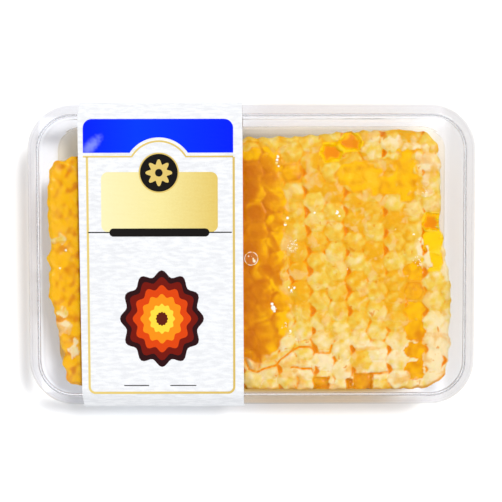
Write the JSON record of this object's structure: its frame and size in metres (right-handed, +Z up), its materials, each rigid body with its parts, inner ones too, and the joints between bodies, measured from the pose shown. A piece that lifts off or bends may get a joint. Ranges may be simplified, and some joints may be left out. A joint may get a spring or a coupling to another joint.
{
  "type": "packed honeycomb piece",
  "caption": "Slab of cut comb honey with capped and open cells, lying in a shut clear box with a plain paper sleeve round one end.",
  "frame": {"origin": "middle of the footprint, on the surface the pack lies on", "axes": "+X along the pack's length, away from the sleeve; +Y across it; +Z up through the lid"},
  "size_m": [0.119, 0.0814, 0.0326],
  "materials": {
    "clear_sheet": "clear, glossy thermoformed sheet",
    "comb_wax": "pale wax cappings over amber honey, satin, wet in places",
    "honey": "clear amber syrup, wet gloss",
    "sleeve_paper": "matt laid paper with plain printed fields"
  },
  "bodies": {
    "root": {"tray": "clear_sheet", "lid": "clear_sheet", "comb": "comb_wax", "honey_pool": "honey", "sleeve": "sleeve_paper"}
  },
  "joints": []
}
